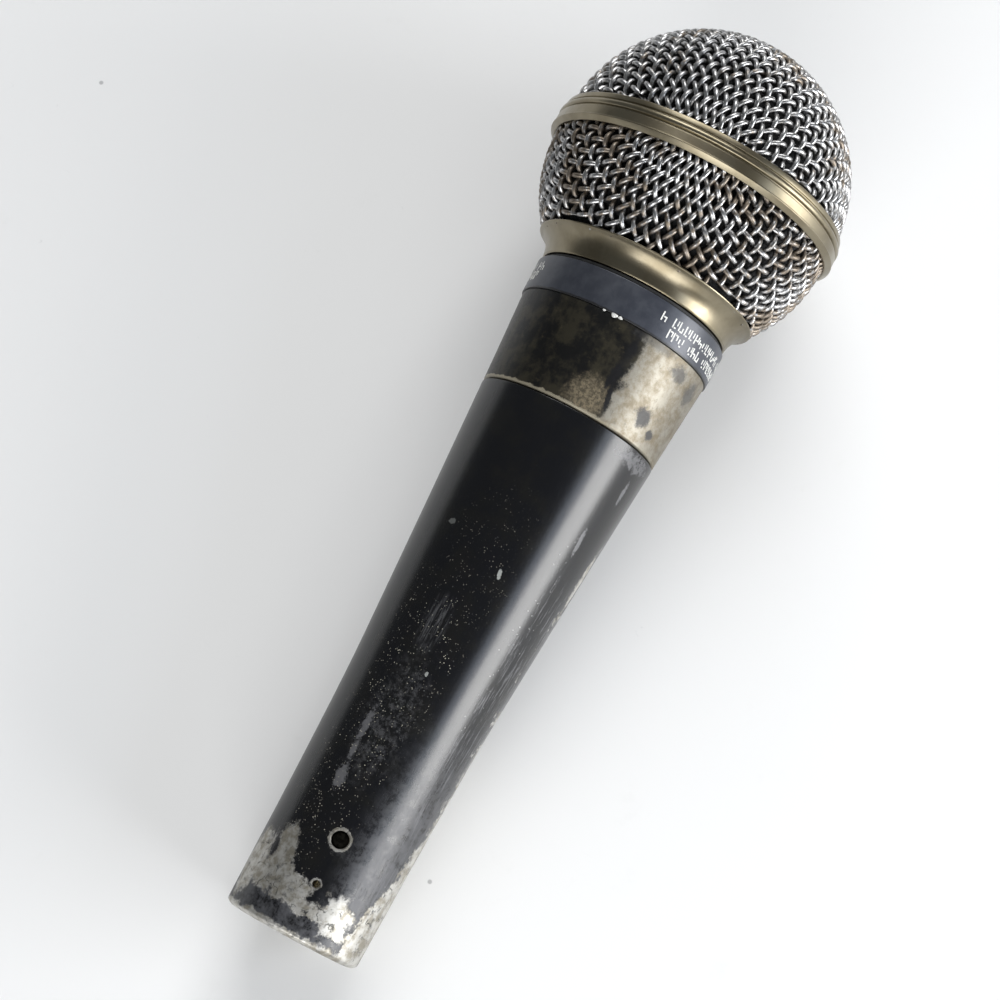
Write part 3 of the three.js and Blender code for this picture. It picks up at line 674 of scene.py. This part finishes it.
def make_connector():
    top = 21.5
    outline = [(0, 14.9), (9.4, 14.9, 0.25), (9.4, top - 0.8, 0.2), (8.6, top, 0.2), (0, top)]
    insert = turned("connector_insert_moulding", outline, "handle", BLACK_PLASTIC, segments=96,
                    replaces=["connector_insert"], slot="black_plastic")
    bore = [(0, 10), (1.26, 10), (1.26, 30), (0, 30)]
    moat = [(1.9, 14.0), (2.3, 14.0), (2.3, 15.2), (1.9, 15.2)]
    pin = [(0, 1.6), (0.85, 1.6, 0.5), (1.2, 2.6, 0.5), (1.2, 24.5, 0.1), (0.75, 24.5), (0.75, 22.9)]
    pin += [(0, 22.9)]
    cutters = []
    for i, angle in enumerate(PIN_ANGLES):
        turn = math.radians(angle)
        place = Matrix.Translation((PIN_CIRCLE_R * math.cos(turn), PIN_CIRCLE_R * math.sin(turn), 0))
        cutters += [cutter(bore, place, 24), cutter(moat, place, 32)]
        turned(f"contact_pin_{i + 1}", pin, "handle", CONTACT, segments=32, place=place,
               replaces=[f"connector_pin_{i + 1}"], slot="plated_contact")
    screw_way = cutter([(0, 5), (1.55, 5), (1.55, 10), (0, 10)], facing_out(LOCK_HOLE_S), 32)
    carve(insert, cutters + [screw_way])


def make_lock_screw():
    top = 8.2
    outline = [(0, 5.4), (0.9, 5.4, 0.1), (1.25, 5.8, 0.1), (1.25, top, 0.15), (0, top)]
    screw = turned("slotted_lock_screw", outline, "lock_screw", SCREW_ZINC, segments=40,
                   place=facing_out(LOCK_HOLE_S), replaces=["lock_screw"], slot="zinc_screw")
    signs = (-1, 1)
    corners = [(top + 0.7 * a, 1.6 * b, LOCK_HOLE_S + 0.24 * c) for a in signs for b in signs for c in signs]
    faces = [(0, 1, 3, 2), (4, 6, 7, 5), (0, 4, 5, 1), (2, 3, 7, 6), (0, 2, 6, 4), (1, 5, 7, 3)]
    carve(screw, [solid("slot", corners, faces)])


# ---- head ---------------------------------------------------------------------------------
def make_housing():
    seat = LABEL_R - 0.85
    outline = [(12.2, 84.2), (13.2, 84.2, 0.2)]
    outline += thread_run(13.6, 84.5, 91.1, 0.34)
    outline += [(13.4, 91.5), (15.1, 91.55, 0.1), (15.36, 91.8, 0.2)]
    outline += smooth_run([(15.38, 92.0), (15.9, 99.5), (16.45, LABEL_BOTTOM - 0.45)], 8)
    outline += [(16.45, LABEL_BOTTOM - 0.05, 0.06), (seat, LABEL_BOTTOM - 0.05), (seat, LABEL_TOP - 0.1)]
    outline += [(14.0, LABEL_TOP - 0.1)]
    outline += thread_run(14.2, 113.7, 121.0, 0.34)
    outline += [(13.8, 121.5, 0.2), (12.8, 121.5), (12.8, 105), (12.2, 104)]
    turned("housing_sleeve", outline, "head", PATINA, segments=200, replaces=["head_housing"],
           slot="worn_housing")


def make_label():
    inner = LABEL_R - 0.8
    outline = [(inner, LABEL_BOTTOM), (LABEL_R - 0.05, LABEL_BOTTOM, 0.12),
               (LABEL_R + 0.05, LABEL_TOP, 0.15), (inner, LABEL_TOP)]
    turned("label_ring", outline, "head", SLATE, replaces=["label_band"], slot="slate_band")


def curved_tile(angle, s, width, height):
    """Vertices and faces of a thin painted tile that lies on the label ring."""
    steps = 2
    sunk = LABEL_R - 0.03
    proud = LABEL_R + 0.04
    vertices = []
    half = math.degrees(width / 2 / (LABEL_R + 0.02))
    for k in range(steps + 1):
        turn = math.radians(angle - half + 2 * half * k / steps)
        for r in (sunk, proud):
            for dz in (-height / 2, height / 2):
                vertices.append((r * math.cos(turn), r * math.sin(turn), s + dz))
    faces = [(0, 2, 3, 1), (4 * steps + 0, 4 * steps + 1, 4 * steps + 3, 4 * steps + 2)]
    for k in range(steps):
        a, b = 4 * k, 4 * k + 4
        faces += [(a + 2, b + 2, b + 3, a + 3), (a, a + 1, b + 1, b)]
        faces += [(a, b, b + 2, a + 2), (a + 1, a + 3, b + 3, b + 1)]
    return vertices, faces


# each row of ticks: its s, and the angles at which it starts and ends
TICK_ROWS = ((110.95, 18.6, 84.0), (108.95, 26.2, 80.0), (111.2, -84.0, -67.0), (109.6, -82.0, -69.0))


def make_label_marks():
    """Rows of plain ticks in place of print, two on each side."""
    chance = random.Random(4)
    vertices = []
    faces = []

    def lay(angle, s, width, height):
        corners, sides = curved_tile(angle, s, width, height)
        faces.extend([tuple(i + len(vertices) for i in side) for side in sides])
        vertices.extend(corners)

    millimetre = math.degrees(1 / LABEL_R)
    for s, first, last in TICK_ROWS:
        angle = first
        while angle < last:
            if chance.random() > 0.16:
                lay(angle, s + 0.1 * chance.random(), 0.24, chance.choice((1.55, 1.55, 0.8)))
                lay(angle + 0.42 * millimetre, s + chance.choice((-0.62, 0.0, 0.62)), 0.36, 0.24)
                lay(angle + 0.72 * millimetre, s + chance.choice((-0.3, 0.3)), 0.22, 0.85)
            angle += chance.choice((1.1, 1.2, 1.3)) * millimetre
    piece("label_ticks", vertices, faces, "head", PALE_PAINT)


def make_paint_chips():
    """Three beads of pale paint on the lower edge of the label ring."""
    vertices = []
    faces = []
    sides = 12
    centre = LABEL_R - 0.02
    for angle, s, size in ((-10.6, 107.2, 0.24), (-4.4, 107.15, 0.48), (-0.9, 107.2, 0.34)):
        start = len(vertices)
        for share, lift in ((1.0, 0.0), (0.8, 0.08), (0.4, 0.12)):
            for k in range(sides):
                turn = 2 * math.pi * k / sides
                wobble = 1 + 0.16 * math.sin(3 * turn + s * 7 + angle)
                along = size * share * wobble * math.cos(turn) * 0.75
                across = size * share * wobble * math.sin(turn) * 1.15
                theta = math.radians(angle) + across / centre
                r = centre + lift * size * 2 - 0.04
                vertices.append((r * math.cos(theta), r * math.sin(theta), s + along))
        for ring in range(2):
            for k in range(sides):
                a = start + ring * sides + k
                b = start + ring * sides + (k + 1) % sides
                faces.append((a, b, b + sides, a + sides))
        faces.append([start + 2 * sides + k for k in range(sides)])
        faces.append([start + k for k in reversed(range(sides))])
    piece("label_paint_chips", vertices, faces, "head", PALE_PAINT)


def make_gasket():
    outline = [(14.5, 113.35), (16.2, 113.35, 0.1), (16.2, 113.85, 0.1), (14.5, 113.85)]
    turned("gasket_ring", outline, "head", RUBBER, replaces=["grille_gasket"], slot="black_rubber")


# ---- grille -------------------------------------------------------------------------------
def make_collar():
    flare = smooth_run([(16.58, 114.3), (16.68, 114.9), (16.92, 115.8), (17.45, 116.8),
                        (18.3, 117.7), (18.95, 118.1)], 5)
    outline = [(14.9, 113.98), (16.42, 113.98, 0.12)] + flare
    outline += [(19.18, 118.22, 0.05), (19.22, 118.42, 0.08), (18.95, 118.5, 0.08), (18.4, 118.1)]
    outline += [(17.3, 117.0), (15.9, 117.0), (15.9, 120.7, 0.1)]
    outline += thread_run(14.62, 114.5, 120.4, 0.3, down=True)
    turned("collar_ring", outline, "grille", COLLAR_PLATE, segments=200, replaces=["grille_collar"],
           slot="champagne_metal")


def make_band():
    # a chamfer, the flat main face, a groove, a bead, a second groove and the lip over the dome
    outline = [(23.8, 133.9), (24.6, 133.42, 0.08), (24.82, 133.4, 0.06), (25.6, 134.1, 0.06)]
    outline += [(25.64, 134.22, 0.04), (25.52, 134.32, 0.04), (25.515, 134.5), (25.475, 135.7)]
    outline += [(25.47, 135.85, 0.06), (25.1, 136.02, 0.05), (25.12, 136.2, 0.05), (25.5, 136.4, 0.2)]
    outline += [(25.56, 136.8, 0.2), (25.46, 137.15, 0.2), (25.02, 137.34, 0.05), (25.02, 137.48, 0.05)]
    outline += [(25.22, 137.62, 0.08), (25.12, 138.4, 0.1), (24.85, 138.54, 0.1), (24.5, 138.4, 0.1)]
    outline += [(23.9, 137.6)]
    turned("band_ring", outline, "grille", BAND_PLATE, segments=256, replaces=["grille_band"],
           slot="champagne_metal")


def gradient(gap, point, step):
    """How fast the gap grows along each axis at a point."""
    ways = (Vector((step, 0, 0)), Vector((0, step, 0)), Vector((0, 0, step)))
    return Vector([gap(point + way) - gap(point - way) for way in ways]) / (2 * step)


def net_point(a, b, guess, pitch, gap):
    """The point of the surface gap(point) = 0 that lies one pitch from a and from b."""
    point = guess.copy()
    for _ in range(12):
        rows = Matrix((2 * (point - a), 2 * (point - b), gradient(gap, point, 1e-4)))
        short = Vector(((point - a).length_squared - pitch ** 2,
                        (point - b).length_squared - pitch ** 2, gap(point)))
        if short.length < 1e-7:
            break
        if abs(rows.determinant()) < 1e-6:
            return None
        step = rows.inverted() @ short
        if step.length > pitch:
            step = step.normalized() * pitch * 0.5
        point = point - step
    return point if abs(gap(point)) < 1e-3 else None


def spine(pitch, reach, pole, gap, direction):
    """Points one pitch apart that run from the pole down the surface in one direction."""
    points = [pole.copy()]
    side = Vector((-direction.y, direction.x, 0))
    for _ in range(reach):
        last = points[-1]
        back = last - points[-2] if len(points) > 1 else direction * pitch
        point = last + back.normalized() * pitch
        for _ in range(12):
            rows = Matrix((2 * (point - last), side, gradient(gap, point, 1e-4)))
            short = Vector(((point - last).length_squared - pitch ** 2,
                            (point - pole).dot(side), gap(point)))
            if short.length < 1e-7 or abs(rows.determinant()) < 1e-9:
                break
            point = point - rows.inverted() @ short
        points.append(point)
    return points


def drape_net(pitch, reach, pole, gap, inside, turn):
    """A square net of wires laid over a bowl or dome, every crossing one pitch from the next along
    both wires, as woven cloth drapes. Returns the crossings by (i, j)."""
    net = {(0, 0): pole.copy()}
    for k, (si, sj) in enumerate(((1, 0), (0, 1), (-1, 0), (0, -1))):
        heading = turn + k * math.pi / 2
        way = Vector((math.cos(heading), math.sin(heading), 0))
        for n, point in enumerate(spine(pitch, reach, pole, gap, way)):
            net[(si * n, sj * n)] = point
    for si, sj in ((1, 1), (-1, 1), (-1, -1), (1, -1)):
        for i in range(1, reach + 1):
            for j in range(1, reach + 1):
                a = net.get((si * (i - 1), sj * j))
                b = net.get((si * i, sj * (j - 1)))
                c = net.get((si * (i - 1), sj * (j - 1)))
                if a is None or b is None or c is None:
                    continue
                if not (inside(a) or inside(b)):
                    continue
                if (a - b).length > 1.995 * pitch or (a - b).length < 0.3 * pitch:
                    continue
                point = net_point(a, b, a + b - c, pitch, gap)
                if point is not None and (point - c).length > 0.2 * pitch:
                    net[(si * i, sj * j)] = point
    return net


def wire_tube(vertices, faces, path, normals):
    """Adds a round wire along a path to a mesh; its section stays square to the path."""
    start = len(vertices)
    count = len(path)
    for k, point in enumerate(path):
        ahead = path[min(k + 1, count - 1)] - path[max(k - 1, 0)]
        across = ahead.cross(normals[k]).normalized()
        out = across.cross(ahead).normalized()
        for n in range(WIRE_SIDES):
            turn = 2 * math.pi * n / WIRE_SIDES
            vertices.append(tuple(point + (across * math.cos(turn) + out * math.sin(turn)) * WIRE_R))
    for k in range(count - 1):
        for n in range(WIRE_SIDES):
            a = start + k * WIRE_SIDES + n
            b = start + k * WIRE_SIDES + (n + 1) % WIRE_SIDES
            faces.append((a, b, b + WIRE_SIDES, a + WIRE_SIDES))
    faces.append([start + n for n in reversed(range(WIRE_SIDES))])
    faces.append([start + (count - 1) * WIRE_SIDES + n for n in range(WIRE_SIDES)])


def add_wire(vertices, faces, run, line, over, gap):
    """Adds the wire through a run of crossings, waved to pass over one and under the next."""
    crossings = [point for _, point in run]
    path = []
    normals = []
    for n in range(len(run) - 1):
        for k in range(WIRE_STEPS + (n == len(run) - 2)):
            t = k / WIRE_STEPS
            point = curve_point(crossings, n, t)
            normal = gradient(gap, point, 1e-3).normalized()
            wave = math.cos(math.pi * (run[n][0] + line + t))
            wave = math.copysign(abs(wave) ** 0.55, wave)
            path.append(point + normal * over * WIRE_R * wave)
            normals.append(normal)
    wire_tube(vertices, faces, path, normals)


def weave(name, net, gap, inside, material, node):
    """A mesh piece of two families of crimped wires that pass over and under at a net's crossings."""
    vertices = []
    faces = []
    reach = max(max(abs(i), abs(j)) for i, j in net)
    for over in (1, -1):
        for line in range(-reach, reach + 1):
            run = []
            for along in range(-reach, reach + 2):
                point = net.get((along, line) if over == 1 else (line, along))
                if point is not None and inside(point):
                    run.append((along, point))
                    continue
                if len(run) > 2:
                    add_wire(vertices, faces, run, line, over, gap)
                run = []
    piece(name, vertices, faces, "grille", material, replaces=[node], slot="grille_wire", sharp=60)


def make_dome_weave():
    radius = DOME_R - 2 * WIRE_R + 0.04
    centre = Vector((0, 0, DOME_CENTRE))
    pole = centre + Vector((0, 0, radius))

    def gap(p):
        return (p - centre).length - radius

    reach = int(radius * math.pi / 2 / DOME_PITCH) + 4
    net = drape_net(DOME_PITCH, reach, pole, gap, lambda p: p.z > 135.5, math.radians(DOME_TURN))
    weave("dome_weave", net, gap, lambda p: p.z > 137.5, DOME_WIRE, "grille_mesh_upper")


CONE_LINE = [(19.0, 118.5), (19.95, 120), (20.98, 121.5), (22.12, 123.5), (23.19, 126), (24.03, 129),
             (24.38, 131.5), (24.55, 133.4), (24.6, 137)]


def make_cone_weave():
    shrink = 2 * WIRE_R - 0.04
    # the bowl that the lower mesh was pressed into goes on below the collar, where it was cut away
    bowl = [(0.0, 110.6), (6, 110.9), (11, 112.3), (14.8, 115), (16.9, 117.1)] + CONE_LINE
    line = [(max(r - shrink, 0) if r else 0.0, s) for r, s in smooth_run(bowl, 6)]

    def gap(p):
        """How far a point is outside the bowl, measured square to its wall."""
        r = math.hypot(p.x, p.y)
        best = None
        for (r0, s0), (r1, s1) in zip(line, line[1:]):
            dr, ds = r1 - r0, s1 - s0
            t = ((r - r0) * dr + (p.z - s0) * ds) / (dr * dr + ds * ds)
            low = t < 0 and (r0, s0) != line[0]
            high = t > 1 and (r1, s1) != line[-1]
            clamped = min(max(t, 0), 1) if (low or high) else t
            away = math.hypot(r - r0 - clamped * dr, p.z - s0 - clamped * ds)
            if best is None or away < best[0]:
                side = (r - r0) * ds - (p.z - s0) * dr
                best = (away, side / math.hypot(dr, ds) if clamped == t else math.copysign(away, side))
        return best[1]

    reach = 24
    pole = Vector((0, 0, line[0][1]))
    net = drape_net(CONE_PITCH, reach, pole, gap, lambda p: p.z < 137.5, math.radians(CONE_TURN))
    weave("cone_weave", net, gap, lambda p: 118.3 < p.z < 136.2, CONE_WIRE, "grille_mesh_lower")


def foam_shell(name, outline, node):
    """A soft liner whose faces are gently lumpy."""
    vertices, faces = revolve(outline, 96)
    chance = random.Random(8)
    soft = []
    for x, y, z in vertices:
        share = 1 - 0.01 * chance.random()
        soft.append((x * share, y * share, z))
    foam = piece(name, soft, faces, "grille_carriage", FOAM, replaces=[node], slot="black_foam", sharp=60)


def make_foam():
    steps = 22
    centre = 138.0
    turns = [math.pi / 2 * k / steps for k in range(steps)]
    outer, inner = [[(r * math.cos(turn), centre + r * math.sin(turn)) for turn in turns] + [(0, centre + r)]
                    for r in (22.6, 20.5)]
    foam_shell("foam_dome_liner", inner[::-1] + outer, "foam_liner_upper")
    wall = smooth_run([(17.0, 118.6), (18.3, 119.8), (19.3, 121.5), (20.45, 123.6), (21.5, 126.2),
                       (22.3, 129.2), (22.65, 132), (22.7, 137.5)], 4)
    lining = [(max(r - 2, 16.2), s) for r, s in wall[::-1]]
    foam_shell("foam_cone_liner", wall + lining, "foam_liner_lower")


# ---- inner pieces that keep their CAD shape -------------------------------------------------
INNER_FINISHES = {
    "ground_lug": CONTACT, "transformer_core": CORE_STEEL, "transformer_bobbin": BOARD,
    "transformer_winding": COPPER, "potting_collar": WAX, "output_lead_1": BLACK_LEAD,
    "output_lead_2": BLACK_LEAD, "output_lead_3": BLACK_LEAD, "input_lead_plus": RED_LEAD,
    "input_lead_minus": GREEN_LEAD, "lead_sleeve": BLACK_LEAD, "mount_ring": GROUND_STEEL,
    "shock_mount": RUBBER, "cartridge_body": BLACK_PLASTIC, "cartridge_cap": CAP_METAL,
    "cap_screen": SCREEN, "side_port_screen": SCREEN, "magnet_yoke": GROUND_STEEL,
    "magnet": GROUND_STEEL, "pole_piece": GROUND_STEEL, "voice_coil": COPPER, "diaphragm": FILM,
    "rear_chamber": CAP_METAL, "terminal_board": BOARD, "terminal_plus": CONTACT,
    "terminal_minus": CONTACT, "cartridge_lead_plus": RED_LEAD, "cartridge_lead_minus": GREEN_LEAD,
}


def finish_inner_pieces():
    for name, material in INNER_FINISHES.items():
        mesh = frame["nodes"][name].data
        mesh.materials.clear()
        mesh.materials.append(material)
        smoothed(mesh, 30)


# ---- stage, light and camera ----------------------------------------------------------------
TABLE_DROP = 0.00018    # the round band reaches this far below the flats of its faceted CAD ring
CAMERA_FROM_HANDLE = Vector((-0.027214, -0.051628, 0.390047))
CAMERA_AZIMUTH = 28.385
CAMERA_ELEVATION = 73.026
LENS_MM = 90


def bearing(azimuth, elevation):
    """The unit vector at an azimuth and elevation in degrees."""
    a = math.radians(azimuth)
    e = math.radians(elevation)
    return Vector((math.cos(a) * math.cos(e), math.sin(a) * math.cos(e), math.sin(e)))


def aimed(name, data, location, way):
    """A camera or light at a location, looking one way."""
    thing = linked(name, data)
    thing.location = location
    thing.rotation_euler = way.to_track_quat("-Z", "Y").to_euler()
    return thing


def make_camera():
    data = bpy.data.cameras.new("camera")
    data.lens = LENS_MM
    data.sensor_width = 36
    data.clip_start = 0.01
    way = bearing(CAMERA_AZIMUTH, -CAMERA_ELEVATION)
    bpy.context.scene.camera = aimed("camera", data, HANDLE_END + CAMERA_FROM_HANDLE, way)


def make_table():
    f = Finish("pale_table")
    tone = f.noise(0.006, 3, 0.5, seed=2)
    colour = f.mix(tone, (0.85, 0.85, 0.845), (0.81, 0.81, 0.805))
    smudge = f.span(f.noise(0.09, 8, 0.7, seed=6), 0.6, 0.8, 0, 0.25)
    colour = f.mix(smudge, colour, (0.72, 0.715, 0.70))
    dots = f.span(f.cells(0.06, seed=3), 0.03, 0.016)
    dots = f.times(dots, f.span(f.noise(0.04, 2, 0.5, seed=8), 0.5, 0.56))
    hairs = f.lines(0.09, 2.2, 0.0016, 12, 0.36)
    colour = f.mix(f.times(f.most(dots, f.times(hairs, 0.35)), 0.6), colour, (0.25, 0.25, 0.26))
    f.bump(f.noise(1.2, 3, 0.6, seed=3), 0.02, 0.3)
    half = 3.0
    mesh = bpy.data.meshes.new("table")
    corners = [(x, y, -TABLE_DROP) for x, y in ((-half, -half), (half, -half), (half, half), (-half, half))]
    mesh.from_pydata(corners, [], [(0, 1, 2, 3)])
    mesh.materials.append(f.done(colour, 0.75, 0.0))
    table = linked("table", mesh)


def soft_box(name, azimuth, elevation, distance, width, height, watts, colour=(1, 1, 1)):
    """A rectangular soft light at a bearing round the microphone, facing it."""
    away = bearing(azimuth, elevation)
    data = bpy.data.lights.new(name, "AREA")
    data.shape = "RECTANGLE"
    data.size = width
    data.size_y = height
    data.energy = watts
    data.color = colour
    aimed(name, data, away * distance + Vector((0, 0, 0.02)), -away)


def make_lights():
    world = bpy.data.worlds.new("studio")
    bpy.context.scene.world = world
    world.use_nodes = True
    background = world.node_tree.nodes["Background"]
    background.inputs["Color"].default_value = (0.9, 0.95, 1.0, 1)
    background.inputs["Strength"].default_value = 0.15
    soft_box("key_softbox", -88, 13, 0.9, 0.75, 0.415, 10)
    soft_box("key_edge_softbox", -88, 32, 0.9, 0.75, 0.19, 1.2, (0.75, 0.85, 1.0))
    soft_box("end_fill_softbox", 14, 42, 2.0, 1.5, 1.3, 30)
    soft_box("low_fill_softbox", -168, 21, 1.5, 1.3, 1.0, 19)
    bpy.context.scene.view_settings.view_transform = "Standard"


make_camera()
make_table()
make_lights()
make_handle()
make_connector()
make_lock_screw()
make_housing()
make_label()
make_label_marks()
make_paint_chips()
make_gasket()
make_collar()
make_band()
make_dome_weave()
make_cone_weave()
make_foam()
finish_inner_pieces()
